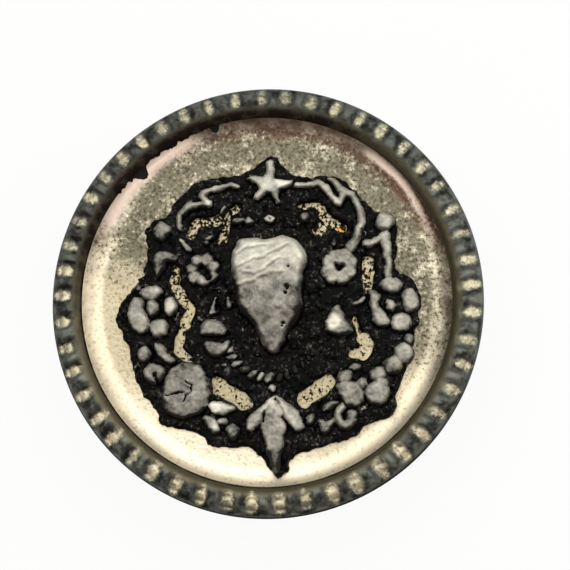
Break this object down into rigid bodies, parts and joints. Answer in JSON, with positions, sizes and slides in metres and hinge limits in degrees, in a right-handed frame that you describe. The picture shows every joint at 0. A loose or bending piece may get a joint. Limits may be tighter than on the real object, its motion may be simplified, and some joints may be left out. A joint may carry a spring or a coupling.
{
  "type": "metal shank button",
  "caption": "Round metal shank button: a notched half-round rim clasps a dished gilt liner that carries a blackened cast openwork wreath with a heart-shaped boss; wire shank behind.",
  "frame": {"origin": "centre of the shank's eye, behind the middle of the back plate", "axes": "+Z out of the button's face, +Y to the top of the face and along the thread through the shank's eye, +X to the right of the face"},
  "size_m": [0.032, 0.032, 0.009],
  "materials": {
    "rim_steel": "darkened steel sheet, rubbed smooth, traces of gilding in the notches",
    "gilt_liner": "tinted brass sheet with a fine granular floor, worn and pitted",
    "white_metal": "cast white metal with a black finish, rubbed bright on the high points",
    "pasteboard": "pressed pasteboard, browned",
    "japanned_iron": "black japanned iron, worn",
    "shank_wire": "tinned iron wire, dulled"
  },
  "bodies": {
    "root": {"rim": "rim_steel", "face_dish": "gilt_liner", "ornament": "white_metal", "card_filler": "pasteboard", "back_plate": "japanned_iron", "shank_loop": "shank_wire"}
  },
  "joints": []
}
